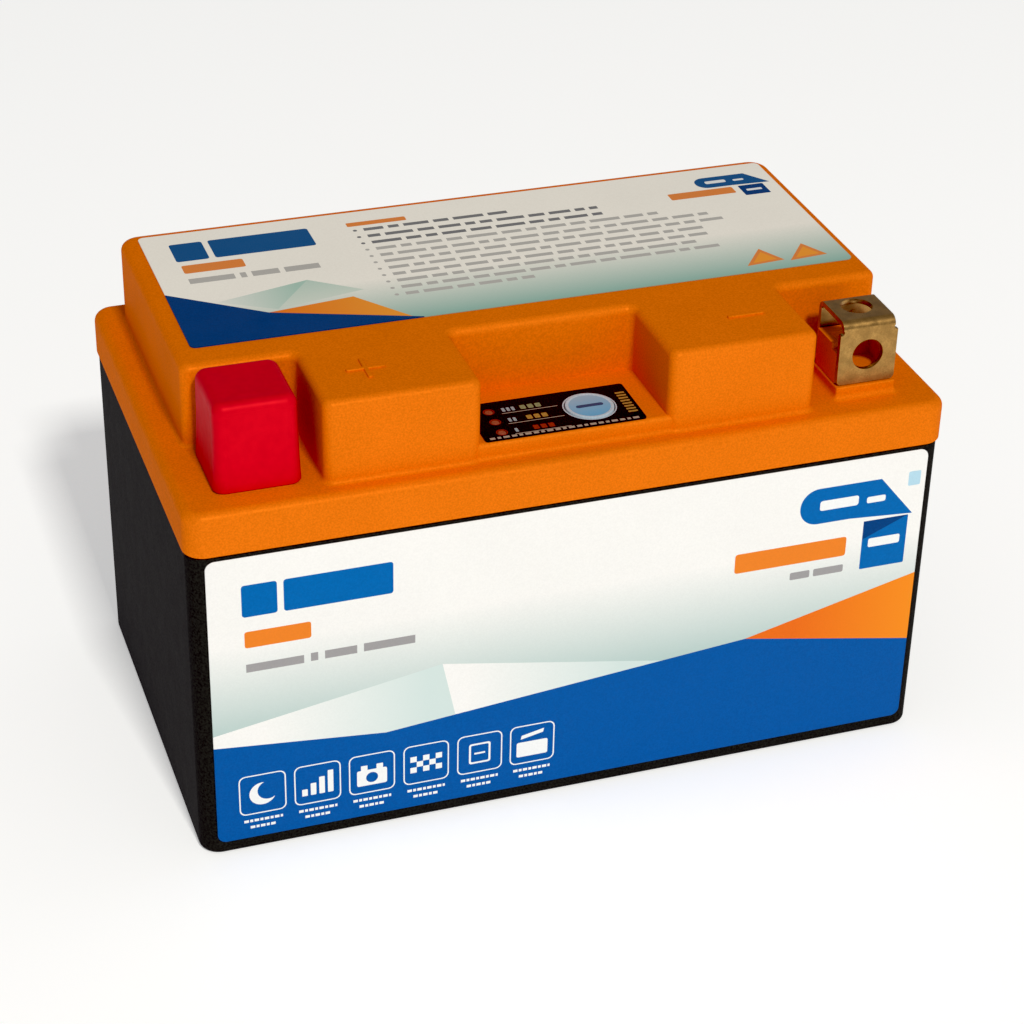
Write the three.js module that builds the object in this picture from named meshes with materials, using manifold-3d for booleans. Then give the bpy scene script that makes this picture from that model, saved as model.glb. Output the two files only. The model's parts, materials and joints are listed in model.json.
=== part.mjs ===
// Motorcycle battery, 12 V lithium iron phosphate, in the common 150 x 87 x 93 mm case.
// Millimetres. +X runs along the long side, -Y faces the label, +Z is up.
// The origin is the middle of the footprint, on the surface that the case stands on.
import * as THREE from 'three';
import { mergeVertices } from 'three/addons/utils/BufferGeometryUtils.js';
import Module from 'manifold-3d';

const wasm = await Module();
wasm.setup();

// ---- Driving dimensions ---------------------------------------------------------------------

const GAP = 0.3; // running clearance between neighbouring pieces
const FIT = 0.1; // clearance between pieces that are clamped, glued or soldered together
const PAST = 1; // how far a solid runs past the face where it is joined on or cuts in
const WELD = 1e-4; // corners nearer than this are one corner

const LENGTH = 150;
const WIDTH = 87;
const CORNER_R = 4;

const CASE = { inset: 0.35, wall: 2, floor: 2.4, top: 67, edge: 1.2 };
const SEAM_Z = CASE.top + GAP;

const SHOULDER = { top: 76.2, edge: 2, wall: 2.2 };
const DECK = { z: 93, halfX: 69.5, back: 38.8, edge: 1.6, wall: 2.2, cornerR: 2, hollowR: 1.5 };
const NOTCH_Y = -18.9; // back wall of the three notches in the deck's front
const LOBE = { inner: 18.35, outer: 48.1, front: -39.3 }; // the two blocks between the notches
const TONGUE = { depth: 4.3, clearance: 0.35, thickness: 1.6 };
const SHELF = { top: 79.5, wall: 2.2, front: -38.9, frontWall: 1.6 }; // floor of the middle notch
const MARK = { x: 37.4, y: -28.6, length: 7.4, width: 0.9, height: 0.4 };

const FRONT_LABEL = { width: 143.4, height: 63.4, z: 34.6, thickness: 0.3, recess: 0.25, r: 3 };
const TOP_LABEL = { left: -66, right: 67.4, front: -12.2, back: 36.2, thickness: 0.2, r: 1.2 };

const POST_X = 60.2; // both terminals stand this far from the middle
const STRIP = { width: 12, narrow: 10.8, thickness: 1, bend: 1.7, innerBend: 0.7 };
const SHARP = 0.1; // the smallest radius on a bent strip's corners
const TERMINAL = { front: -35.9, back: -24.5, bottom: 78.8, top: 92.1, footTop: 70.5, footEnd: -6 };
const TERMINAL_HOLE = { frontR: 3.2, frontZ: 84.9, topR: 3.1, topY: -29.4 };
const PEDESTAL = { halfX: 6.2, front: -36.5, back: -23.4, top: TERMINAL.bottom - FIT };
const LEG_SLOT = { halfX: 5.8, halfY: 0.9, bottom: 71.2 };
// The plastic holder inside the bracket has a pocket for a square nut and a lower ledge in front.
const HOLDER = { halfX: 5.9, front: -34.6, back: -25.8, top: 86.4, ledge: 85.2, ledgeBack: -32.4 };
const NUT_POCKET = { halfX: 4.4, back: -28, floor: 80.6 };
const CAP = { x: -60.3, front: -37.8, back: -20.4, halfX: 7.8, base: 76.5, top: 94.2, r: 2.6, edge: 1.8 };
const CAP_WALL = { side: 0.8, top: 1 };
const CAP_TAPER = 0.085; // share of its plan size that the cap loses from base to top

const OVERLAY = { left: -17.4, right: 14.3, front: -38.4, back: -24.5, thickness: 0.25, r: 0.6 };
const BUTTON = { x: 5.4, y: -31.3, r: 4.7, top: 80.1, bottom: 79, stemR: 1.5 };
const BUTTON_FACE = { rim: 0.3, dishR: 3.9, dish: 0.15, middle: 0.05 };
const BUTTON_WELL = { r: 5.2, floor: 78.2, overlayR: 4.9 };
const BOARD = { left: -17, right: 14, front: -38, back: -25, bottom: 72, top: 73 };
const BOARD_POSTS = { xs: [-10.5, 12], ys: [-36, -27], r: 1.2, top: 77.8, holeR: 0.95 };
const BOARD_PIN = { r: 0.7, end: 71.2 };
const LAMP = { x: -13.5, y: -32, pitch: 3.95, r: 0.8, lidR: 0.95, overlayR: 0.9 };
const LAMP_CHIP = { halfX: 0.8, halfY: 0.6, height: 0.8 };
const SWITCH = { half: 3, top: 76.3, boreR: 1.6, boreFloor: 74.7 };
const PLUNGER = { r: 1.3, bottom: 75.3, top: 76.95 };
const PLUG = { x: -4, y: -29, halfX: 4, halfY: 2, bottom: 69 };
const HEADER = { x: -4, y: -8, halfX: 4, halfY: 2, height: 3.5 };
const HARNESS = { r: 1.2, lead: 2.5, sag: 0.8, sides: 8, steps: 12 };

const CELL = { length: 112, thickness: 11.6, pitch: 13, bottom: 5, top: 59, edge: 1.5, r: 3 };
const TERRACE = { top: 64, thickness: 1 };
const SEPARATOR = { length: 110, thickness: 0.8, bottom: 5.5, top: 58.5 };
const CARRIER = { halfX: 58, halfY: 27, bottom: 64.4, top: 65.9, standoffTop: 69.9, r: 3 };
const TAB = { x: 28, width: 22, thickness: 0.4, fold: 4.5, top: 66.6, bottom: 64.3, sharp: 0.05 };
const TAB_SLOT = { halfX: 11.6, halfY: 0.7 };
const LINK = { bottom: 66.7, top: 67.7, width: 22, margin: 1, r: 1 };
const BUSBAR = { bottom: 66.7, top: 67.7, near: 0.5, far: 5, negativeEnd: 7 };
const WING = { outer: 52, inner: 41, end: -4 };
const LEAD = { r: 2.1, sides: 10, steps: 24 };
const LUG = { half: 4.5, front: -15.5, back: -1, bottom: 70.6, top: 71.8 };
const BARREL = { r: 3, boreR: 2.35, start: -3.4, boreStart: -1.4, end: 5 };
const SCREW = { y: -10.5, headR: 4, headTop: 74.5, shankR: 1.9, holeR: 2.2, bottom: 65.95 };
const SOCKET = { r: 1.6, depth: 1.6 };
const NUT = { r: 4, bottom: 66.2, top: 69.4, holeR: 2.15 };
const SEAL = { halfX: 7, halfY: 2.4, bottom: 71.7, slotHalfX: 5.6, slotHalfY: 0.7 };
const BALANCE = { halfX: 15, front: -12, back: 26, bottom: 70, top: 71.6, r: 1.5 };
const CONTROLLER = { halfX: 3.5, front: 3, back: 9, height: 1.4 };
const RESISTOR = { first: -10.5, pitch: 7, halfX: 2, front: 14, back: 17, height: 0.8 };
const FLEX = { thickness: 0.3, half: 2, front: -17, back: 19, fingerHalf: 1, reach: 16.4 };
const FLEX_FINGERS = [[-17, -1], [-13, 1], [0, -1], [13, 1], [17, -1]]; // y and side of each finger
const FLEX_TAIL = { front: -12.7, back: -12.4, landing: -11, rise: 0.5 };
const STANDOFF = { x: 12, ys: [-9, 23], r: 2 };
const FOAM = { top: 62, clearance: 0.5, inset: 2, r: 1.5 };

// ---- Materials ------------------------------------------------------------------------------

const material = (color, roughness, metalness = 0) =>
  new THREE.MeshStandardMaterial({ color, roughness, metalness });

const ORANGE_ABS = material(0xee7a0e, 0.45);
const BLACK_ABS = material(0x1b1b1a, 0.5);
const LABEL_FILM = material(0xf4f3ee, 0.35);
const TOP_LABEL_FILM = material(0xe6e4dc, 0.35);
const RED_VINYL = material(0xd8182a, 0.3);
const BRASS = material(0xc8a55f, 0.3, 1);
const OVERLAY_FILM = material(0x141416, 0.3);
const BUTTON_FILM = material(0x9fb4c4, 0.35, 0.3);
const BOARD_GREEN = material(0x1f5a34, 0.5);
const BLACK_NYLON = material(0x202022, 0.5);
const WHITE_NYLON = material(0xe8e4d8, 0.5);
const CLEAR_ACRYLIC = material(0xf08060, 0.2);
const LAMP_PACKAGE = material(0xf4efe0, 0.4);
const POUCH_FILM = material(0xb9bcc0, 0.35, 0.6);
const ALUMINIUM = material(0xc9ccd0, 0.35, 1);
const NICKEL = material(0xb8b2a4, 0.35, 1);
const STEEL = material(0xa9abb0, 0.35, 1);
const FIBRE_BOARD = material(0xd9d2b8, 0.8);
const GREY_FOAM = material(0x4a4c50, 0.95);
const RED_SLEEVE = material(0xb01820, 0.5);
const BLACK_SLEEVE = material(0x17171a, 0.5);
const RESIN = material(0x2a2622, 0.4);

// ---- Solids ---------------------------------------------------------------------------------

function toSolid(geometry) {
  const bare = geometry.clone();
  bare.deleteAttribute('normal');
  bare.deleteAttribute('uv');
  const welded = mergeVertices(bare, WELD);
  return new wasm.Manifold(new wasm.Mesh({
    numProp: 3,
    vertProperties: new Float32Array(welded.attributes.position.array),
    triVerts: new Uint32Array(welded.index.array),
  }));
}

function toGeometry(solid) {
  const mesh = solid.getMesh();
  const geometry = new THREE.BufferGeometry();
  geometry.setAttribute('position', new THREE.BufferAttribute(mesh.vertProperties, 3));
  geometry.setIndex(new THREE.BufferAttribute(mesh.triVerts, 1));
  return geometry;
}

function joined(first, ...others) {
  return others.reduce((sum, other) => sum.add(other), first);
}

function cut(body, ...cutters) {
  return cutters.reduce((rest, cutter) => rest.subtract(cutter), body);
}

// A box between two opposite corners.
function block(x0, x1, y0, y1, z0, z1) {
  const geometry = new THREE.BoxGeometry(x1 - x0, y1 - y0, z1 - z0);
  geometry.translate((x0 + x1) / 2, (y0 + y1) / 2, (z0 + z1) / 2);
  return toSolid(geometry);
}

// An upright round bar.
function drum(x, y, r, z0, z1, sides = 20) {
  const geometry = new THREE.CylinderGeometry(r, r, z1 - z0, sides);
  geometry.rotateX(Math.PI / 2);
  geometry.translate(x, y, (z0 + z1) / 2);
  return toSolid(geometry);
}

// A round bar along Y.
function barAlongY(x, z, r, y0, y1, sides = 20) {
  const geometry = new THREE.CylinderGeometry(r, r, y1 - y0, sides);
  geometry.translate(x, (y0 + y1) / 2, z);
  return toSolid(geometry);
}

// A closed outline through [x, y, radius] corners, each rounded by its own radius.
function roundedOutline(corners) {
  const shape = new THREE.Shape();
  corners.forEach(([x, y, r], i) => {
    const corner = new THREE.Vector2(x, y);
    const [lastX, lastY] = corners.at(i - 1);
    const [nextX, nextY] = corners[(i + 1) % corners.length];
    const before = new THREE.Vector2(lastX, lastY).sub(corner).normalize();
    const after = new THREE.Vector2(nextX, nextY).sub(corner).normalize();
    const half = Math.acos(before.dot(after)) / 2;
    const reach = r / Math.tan(half);
    const start = corner.clone().addScaledVector(before, reach);
    const end = corner.clone().addScaledVector(after, reach);
    const centre = before.clone().add(after).normalize().multiplyScalar(r / Math.sin(half)).add(corner);
    const clockwise = before.cross(after) > 0;
    if (i === 0) shape.moveTo(start.x, start.y);
    else shape.lineTo(start.x, start.y);
    shape.absarc(centre.x, centre.y, r, start.sub(centre).angle(), end.sub(centre).angle(), clockwise);
  });
  return shape;
}

function rectangle(x0, x1, y0, y1, r) {
  return roundedOutline([[x0, y0, r], [x1, y0, r], [x1, y1, r], [x0, y1, r]]);
}

// An upright prism on an outline. With an edge radius, both end rims are rounded by that much.
function prism(shape, z0, z1, edge = 0, curveSegments = 2, rimSteps = 2) {
  const geometry = new THREE.ExtrudeGeometry(shape, {
    depth: z1 - z0 - 2 * edge,
    steps: 1,
    curveSegments,
    bevelEnabled: edge > 0,
    bevelThickness: edge,
    bevelSize: edge,
    bevelOffset: -edge,
    bevelSegments: rimSteps,
  });
  geometry.translate(0, 0, z0 + edge);
  return toSolid(geometry);
}

function between(solid, z0, z1) {
  return solid.intersect(block(-LENGTH, LENGTH, -LENGTH, LENGTH, z0, z1));
}

// A prism with only its upper rim rounded.
function domed(shape, z0, z1, edge, curveSegments, rimSteps) {
  return between(prism(shape, z0 - 2 * edge, z1, edge, curveSegments, rimSteps), z0, z1);
}

// A profile drawn in the Y-Z plane and swept along X.
function alongX(profile, x0, x1, curveSegments) {
  const geometry = new THREE.ExtrudeGeometry(profile, {
    depth: x1 - x0, steps: 1, curveSegments, bevelEnabled: false,
  });
  const yzx = new THREE.Matrix4().makeBasis(
    new THREE.Vector3(0, 1, 0), new THREE.Vector3(0, 0, 1), new THREE.Vector3(1, 0, 0));
  geometry.applyMatrix4(yzx);
  geometry.translate(x0, 0, 0);
  return toSolid(geometry);
}

// Shrinks a solid towards an upright line as it rises.
function tapered(solid, x, y, z0, z1, share) {
  return solid.warp((v) => {
    const scale = 1 - share * (v[2] - z0) / (z1 - z0);
    v[0] = x + (v[0] - x) * scale;
    v[1] = y + (v[1] - y) * scale;
  });
}

// A round cord along a smooth path.
function cord(points, r, sides, steps) {
  const path = new THREE.CatmullRomCurve3(points.map((p) => new THREE.Vector3(...p)));
  const section = new THREE.Shape();
  section.absarc(0, 0, r, 0, 2 * Math.PI, false);
  return toSolid(new THREE.ExtrudeGeometry(section, {
    extrudePath: path, steps, curveSegments: sides / 2, bevelEnabled: false,
  }));
}

// ---- Case and lid ---------------------------------------------------------------------------

const caseX = LENGTH / 2 - CASE.inset;
const caseY = WIDTH / 2 - CASE.inset;
const insideX = caseX - CASE.wall;
const insideY = caseY - CASE.wall;

function makeContainer() {
  const outline = rectangle(-caseX, caseX, -caseY, caseY, CORNER_R);
  const outside = between(prism(outline, 0, CASE.top + 2 * CASE.edge, CASE.edge), 0, CASE.top);
  const cavity = prism(rectangle(-insideX, insideX, -insideY, insideY, CORNER_R - CASE.wall),
    CASE.floor, CASE.top + PAST);
  const { width, height, z, recess } = FRONT_LABEL;
  const panel = block(-width / 2 - FIT, width / 2 + FIT, -caseY - PAST, -caseY + recess,
    z - height / 2 - FIT, z + height / 2 + FIT);
  return cut(outside, cavity, panel);
}

// The deck's outline with its three notches, pulled in by the given amount.
function deckOutline(inset, outerR, cornerR) {
  const x = DECK.halfX - inset;
  const back = DECK.back - inset;
  const wall = NOTCH_Y + inset;
  const front = LOBE.front + inset;
  const inner = LOBE.inner + inset;
  const outer = LOBE.outer - inset;
  const { hollowR } = DECK;
  return roundedOutline([
    [-x, wall, cornerR], [-outer, wall, hollowR], [-outer, front, cornerR], [-inner, front, cornerR],
    [-inner, wall, hollowR], [inner, wall, hollowR], [inner, front, cornerR], [outer, front, cornerR],
    [outer, wall, hollowR], [x, wall, cornerR], [x, back, outerR], [-x, back, outerR],
  ]);
}

function polarityMark(sign) {
  const x = sign * MARK.x;
  const bottom = DECK.z - PAST;
  const top = DECK.z + MARK.height;
  const [long, short] = [MARK.length / 2, MARK.width / 2];
  const bar = block(x - long, x + long, MARK.y - short, MARK.y + short, bottom, top);
  if (sign > 0) return bar;
  return bar.add(block(x - short, x + short, MARK.y - long, MARK.y + long, bottom, top));
}

// The pedestal that a terminal stands on.
function terminalPedestal(sign) {
  const x = sign * POST_X;
  return block(x - PEDESTAL.halfX, x + PEDESTAL.halfX, PEDESTAL.front, PEDESTAL.back,
    SHOULDER.top - PAST, PEDESTAL.top);
}

function legSlot(sign) {
  const x = sign * POST_X;
  const y = TERMINAL.back - STRIP.thickness / 2;
  return block(x - LEG_SLOT.halfX, x + LEG_SLOT.halfX, y - LEG_SLOT.halfY, y + LEG_SLOT.halfY,
    LEG_SLOT.bottom, PEDESTAL.top + PAST);
}

function makeLid() {
  const halfX = LENGTH / 2;
  const halfY = WIDTH / 2;
  const tongueX = insideX - TONGUE.clearance;
  const tongueY = insideY - TONGUE.clearance;
  const hollowX = tongueX - TONGUE.thickness;
  const hollowY = tongueY - TONGUE.thickness;
  const tongueEnd = SEAM_Z - TONGUE.depth;
  const underSide = SHOULDER.top - SHOULDER.wall;
  const underShelf = SHELF.top - SHELF.wall;

  const skirt = domed(rectangle(-halfX, halfX, -halfY, halfY, CORNER_R), SEAM_Z, SHOULDER.top, SHOULDER.edge);
  const tongue = prism(rectangle(-tongueX, tongueX, -tongueY, tongueY, CORNER_R - CASE.wall),
    tongueEnd, SEAM_Z + PAST);
  const deck = domed(deckOutline(0, CORNER_R, DECK.cornerR), SHOULDER.top - PAST, DECK.z, DECK.edge);
  const shelf = block(-LOBE.inner - PAST, LOBE.inner + PAST, SHELF.front, NOTCH_Y + PAST,
    SHOULDER.top - PAST, SHELF.top);
  const outside = joined(skirt, tongue, deck, shelf, polarityMark(-1), polarityMark(1),
    terminalPedestal(-1), terminalPedestal(1));

  const skirtHollow = prism(rectangle(-hollowX, hollowX, -hollowY, hollowY, DECK.hollowR),
    tongueEnd - PAST, underSide);
  const deckHollow = prism(deckOutline(DECK.wall, CORNER_R / 2, DECK.cornerR / 2),
    underSide - PAST, DECK.z - DECK.wall);
  const shelfX = LOBE.inner + DECK.wall + PAST;
  const shelfHollow = block(-shelfX, shelfX, SHELF.front + SHELF.frontWall, NOTCH_Y + DECK.wall + PAST,
    underSide - PAST, underShelf);

  const through = (x, y, r, sides) => drum(x, y, r, underShelf - PAST, SHELF.top + PAST, sides);
  const buttonWell = drum(BUTTON.x, BUTTON.y, BUTTON_WELL.r, BUTTON_WELL.floor, SHELF.top + PAST, 32);
  const stemHole = through(BUTTON.x, BUTTON.y, BUTTON.stemR + GAP);
  const lampHoles = lampPlaces().map(([, y]) => through(LAMP.x, y, LAMP.lidR, 12));
  const shell = cut(outside, skirtHollow, deckHollow, shelfHollow, legSlot(-1), legSlot(1),
    buttonWell, stemHole, ...lampHoles);

  const posts = boardPostPlaces().map(([x, y]) => joined(
    drum(x, y, BOARD_POSTS.r, BOARD.top + FIT, BOARD_POSTS.top, 12),
    drum(x, y, BOARD_PIN.r, BOARD_PIN.end, BOARD.top + PAST, 12)));
  return joined(shell, ...posts);
}

function makeFrontLabel() {
  const { width, height, z, thickness, recess, r } = FRONT_LABEL;
  const film = new THREE.ExtrudeGeometry(rectangle(-width / 2, width / 2, -height / 2, height / 2, r), {
    depth: thickness, steps: 1, curveSegments: 3, bevelEnabled: false,
  });
  film.rotateX(Math.PI / 2);
  film.translate(0, -caseY + recess - FIT / 2, z);
  return toSolid(film);
}

function makeTopLabel() {
  const { left, right, front, back, thickness, r } = TOP_LABEL;
  const bottom = DECK.z + FIT / 2;
  return prism(rectangle(left, right, front, back, r), bottom, bottom + thickness);
}

// ---- Terminals ------------------------------------------------------------------------------

// A bent strip: a drilled front plate, a drilled top plate, a leg down through the lid and a foot.
function makeTerminal(sign) {
  const x = sign * POST_X;
  const t = STRIP.thickness;
  const { front, back, bottom, top, footTop, footEnd } = TERMINAL;
  const [outerR, innerR] = [STRIP.bend, STRIP.innerBend];
  const profile = roundedOutline([
    [front, bottom, SHARP],
    [front + t, bottom, SHARP],
    [front + t, top - t, innerR],
    [back - t, top - t, innerR],
    [back - t, footTop - t, outerR],
    [footEnd, footTop - t, SHARP],
    [footEnd, footTop, SHARP],
    [back, footTop, innerR],
    [back, top, outerR],
    [front, top, outerR],
  ]);
  const strip = alongX(profile, x - STRIP.width / 2, x + STRIP.width / 2, 2);
  const plateEdge = top - STRIP.bend;
  const trims = [-1, 1].map((side) => {
    const inner = x + side * STRIP.narrow / 2;
    const outer = x + side * STRIP.width;
    const [x0, x1] = [Math.min(inner, outer), Math.max(inner, outer)];
    return joined(
      block(x0, x1, front - PAST, back + PAST, plateEdge, top + PAST),
      block(x0, x1, back - t - outerR, footEnd + PAST, footTop - t - PAST, top + PAST));
  });
  const frontHole = barAlongY(x, TERMINAL_HOLE.frontZ, TERMINAL_HOLE.frontR,
    front - PAST, front + t + PAST, 24);
  const topHole = drum(x, TERMINAL_HOLE.topY, TERMINAL_HOLE.topR, top - t - PAST, top + PAST, 24);
  const footHole = drum(x, SCREW.y, SCREW.holeR, footTop - t - PAST, footTop + PAST);
  return cut(strip, ...trims, frontHole, topHole, footHole);
}

// The nut holder, glued to the pedestal inside the bracket.
function makeNutHolder(sign) {
  const x = sign * POST_X;
  const { halfX, front, back, top, ledge, ledgeBack } = HOLDER;
  const holder = block(x - halfX, x + halfX, front, back, TERMINAL.bottom, top);
  const step = block(x - halfX - PAST, x + halfX + PAST, front - PAST, ledgeBack, ledge, top + PAST);
  const pocket = block(x - NUT_POCKET.halfX, x + NUT_POCKET.halfX, front - PAST, NUT_POCKET.back,
    NUT_POCKET.floor, top + PAST);
  return cut(holder, step, pocket);
}

function makeTerminalSeal(sign) {
  const x = sign * POST_X;
  const y = TERMINAL.back - STRIP.thickness / 2;
  const bead = block(x - SEAL.halfX, x + SEAL.halfX, y - SEAL.halfY, y + SEAL.halfY,
    SEAL.bottom, SHOULDER.top - SHOULDER.wall - FIT);
  return bead.subtract(block(x - SEAL.slotHalfX, x + SEAL.slotHalfX, y - SEAL.slotHalfY, y + SEAL.slotHalfY,
    SEAL.bottom - PAST, SHOULDER.top));
}

function makeTerminalCap() {
  const y = (CAP.front + CAP.back) / 2;
  const halfY = (CAP.back - CAP.front) / 2;
  const outline = (inset) => rectangle(CAP.x - CAP.halfX + inset, CAP.x + CAP.halfX - inset,
    y - halfY + inset, y + halfY - inset, CAP.r - inset);
  const outer = domed(outline(0), CAP.base, CAP.top, CAP.edge, 3, 3);
  const hollow = prism(outline(CAP_WALL.side), CAP.base - PAST, CAP.top - CAP_WALL.top);
  return tapered(outer.subtract(hollow), CAP.x, y, CAP.base, CAP.top, CAP_TAPER);
}

// ---- Charge indicator -----------------------------------------------------------------------

// A box centred on a point of the plan.
function boxAt({ x, y, halfX, halfY }, z0, z1) {
  return block(x - halfX, x + halfX, y - halfY, y + halfY, z0, z1);
}

function lampPlaces() {
  return [['low', LAMP.y - LAMP.pitch], ['medium', LAMP.y], ['full', LAMP.y + LAMP.pitch]];
}

function boardPostPlaces() {
  return BOARD_POSTS.xs.flatMap((x) => BOARD_POSTS.ys.map((y) => [x, y]));
}

function makeOverlay() {
  const bottom = SHELF.top + FIT / 2;
  const film = prism(rectangle(OVERLAY.left, OVERLAY.right, OVERLAY.front, OVERLAY.back, OVERLAY.r),
    bottom, bottom + OVERLAY.thickness, 0, 1);
  const through = (x, y, r, sides) => drum(x, y, r, bottom - PAST, bottom + PAST, sides);
  const windows = lampPlaces().map(([, y]) => through(LAMP.x, y, LAMP.overlayR, 12));
  return cut(film, through(BUTTON.x, BUTTON.y, BUTTON_WELL.overlayR, 32), ...windows);
}

function makeTestButton() {
  const stemEnd = PLUNGER.top + FIT / 2;
  const { rim, dishR, dish, middle } = BUTTON_FACE;
  const profile = [
    [0, stemEnd],
    [BUTTON.stemR, stemEnd],
    [BUTTON.stemR, BUTTON.bottom],
    [BUTTON.r, BUTTON.bottom],
    [BUTTON.r, BUTTON.top - rim],
    [BUTTON.r - rim, BUTTON.top],
    [dishR, BUTTON.top - dish],
    [0, BUTTON.top - middle],
  ].map(([r, z]) => new THREE.Vector2(r, z));
  const geometry = new THREE.LatheGeometry(profile, 32);
  geometry.rotateX(Math.PI / 2);
  geometry.translate(BUTTON.x, BUTTON.y, 0);
  return toSolid(geometry);
}

function makeIndicatorBoard() {
  const board = block(BOARD.left, BOARD.right, BOARD.front, BOARD.back, BOARD.bottom, BOARD.top);
  return cut(board, ...boardPostPlaces().map(([x, y]) =>
    drum(x, y, BOARD_POSTS.holeR, BOARD.bottom - PAST, BOARD.top + PAST, 12)));
}

function makeSwitchHousing() {
  const place = { x: BUTTON.x, y: BUTTON.y, halfX: SWITCH.half, halfY: SWITCH.half };
  const body = boxAt(place, BOARD.top + FIT / 2, SWITCH.top);
  return body.subtract(drum(BUTTON.x, BUTTON.y, SWITCH.boreR, SWITCH.boreFloor, SWITCH.top + PAST));
}

function makeSwitchPlunger() {
  return drum(BUTTON.x, BUTTON.y, PLUNGER.r, PLUNGER.bottom, PLUNGER.top, 16);
}

function makeLamp(y) {
  const bottom = BOARD.top + FIT / 2;
  return boxAt({ ...LAMP_CHIP, x: LAMP.x, y }, bottom, bottom + LAMP_CHIP.height);
}

function makeLightGuide(y) {
  const bottom = BOARD.top + LAMP_CHIP.height + GAP;
  return drum(LAMP.x, y, LAMP.r, bottom, SHELF.top + FIT / 2 + OVERLAY.thickness, 12);
}

function makeIndicatorPlug() {
  return boxAt(PLUG, PLUG.bottom, BOARD.bottom - FIT / 2);
}

function makeBalanceHeader() {
  const bottom = BALANCE.top + FIT / 2;
  return boxAt(HEADER, bottom, bottom + HEADER.height);
}

function makeIndicatorHarness() {
  const z0 = (PLUG.bottom + BOARD.bottom) / 2;
  const z1 = BALANCE.top + HEADER.height / 2;
  const start = PLUG.y + PLUG.halfY + FIT;
  const end = HEADER.y - HEADER.halfY - FIT;
  return cord([
    [PLUG.x, start, z0],
    [PLUG.x, start + HARNESS.lead, z0],
    [PLUG.x, (start + end) / 2, (z0 + z1) / 2 - HARNESS.sag],
    [HEADER.x, end - HARNESS.lead, z1],
    [HEADER.x, end, z1],
  ], HARNESS.r, HARNESS.sides, HARNESS.steps);
}

// ---- Cells and their links ------------------------------------------------------------------

const cellY = (index) => (index - 1.5) * CELL.pitch;

// Cells 1 and 3 have their positive tab on the left, cells 2 and 4 on the right.
const positiveSide = (index) => (index % 2 === 0 ? -1 : 1);

// Which way a tab folds over the carrier: towards the tab that it is linked to.
const foldSide = (index, side) => {
  const startsLink = side !== positiveSide(index) && index < 3;
  const firstPositive = side === positiveSide(index) && index === 0;
  return startsLink || firstPositive ? 1 : -1;
};

function makeCell(index) {
  const y = cellY(index);
  const half = CELL.length / 2;
  const face = new THREE.ExtrudeGeometry(rectangle(-half, half, CELL.bottom, CELL.top, CELL.r), {
    depth: CELL.thickness - 2 * CELL.edge,
    steps: 1,
    curveSegments: 1,
    bevelEnabled: true,
    bevelThickness: CELL.edge,
    bevelSize: CELL.edge,
    bevelOffset: -CELL.edge,
    bevelSegments: 1,
  });
  face.rotateX(Math.PI / 2);
  face.translate(0, y + CELL.thickness / 2 - CELL.edge, 0);
  const terrace = block(CELL.r - half, half - CELL.r, y - TERRACE.thickness / 2, y + TERRACE.thickness / 2,
    CELL.top - PAST, TERRACE.top);
  return toSolid(face).add(terrace);
}

function makeTab(index, side) {
  const y = cellY(index);
  const fold = foldSide(index, side);
  const t = TAB.thickness;
  const [outside, inside, end] = [y - fold * t / 2, y + fold * t / 2, y + fold * TAB.fold];
  const profile = roundedOutline([
    [outside, TAB.bottom, TAB.sharp],
    [outside, TAB.top, t],
    [end, TAB.top, TAB.sharp],
    [end, TAB.top - t, TAB.sharp],
    [inside, TAB.top - t, TAB.sharp],
    [inside, TAB.bottom, TAB.sharp],
  ]);
  return alongX(profile, side * TAB.x - TAB.width / 2, side * TAB.x + TAB.width / 2, 1);
}

function makeSeparator(index) {
  const place = {
    x: 0,
    y: cellY(index) + CELL.pitch / 2,
    halfX: SEPARATOR.length / 2,
    halfY: SEPARATOR.thickness / 2,
  };
  return boxAt(place, SEPARATOR.bottom, SEPARATOR.top);
}

function makeCarrier() {
  const plate = prism(rectangle(-CARRIER.halfX, CARRIER.halfX, -CARRIER.halfY, CARRIER.halfY, CARRIER.r),
    CARRIER.bottom, CARRIER.top);
  const slots = [0, 1, 2, 3].flatMap((index) => [-1, 1].map((side) =>
    boxAt({ ...TAB_SLOT, x: side * TAB.x, y: cellY(index) }, CARRIER.bottom - PAST, CARRIER.top + PAST)));
  const standoffs = [-1, 1].flatMap((side) => STANDOFF.ys.map((y) =>
    drum(side * STANDOFF.x, y, STANDOFF.r, CARRIER.top - PAST, CARRIER.standoffTop, 16)));
  return joined(cut(plate, ...slots), ...standoffs);
}

function makeSeriesLink(index) {
  const x = -positiveSide(index) * TAB.x;
  const y = cellY(index) + CELL.pitch / 2;
  const halfX = LINK.width / 2;
  const halfY = CELL.pitch / 2 - LINK.margin;
  return prism(rectangle(x - halfX, x + halfX, y - halfY, y + halfY, LINK.r), LINK.bottom, LINK.top, 0, 1);
}

// The positive busbar has a wing to its left, the negative one a wing behind it, for its lead.
function makeBusbarPositive() {
  const near = cellY(0) + BUSBAR.near;
  const far = cellY(0) + BUSBAR.far;
  const bar = block(-WING.outer, -TAB.x + TAB.width / 2, near, far, BUSBAR.bottom, BUSBAR.top);
  const wing = block(-WING.outer, -WING.inner, near, WING.end, BUSBAR.bottom, BUSBAR.top);
  return joined(bar, wing);
}

function makeBusbarNegative() {
  const y = cellY(3);
  return block(-TAB.x - TAB.width / 2, -TAB.x + TAB.width / 2, y - BUSBAR.far, y + BUSBAR.negativeEnd,
    BUSBAR.bottom, BUSBAR.top);
}

const leadZ = BUSBAR.top + FIT + LEAD.r;
const lugZ = LUG.bottom + BARREL.r;

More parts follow.
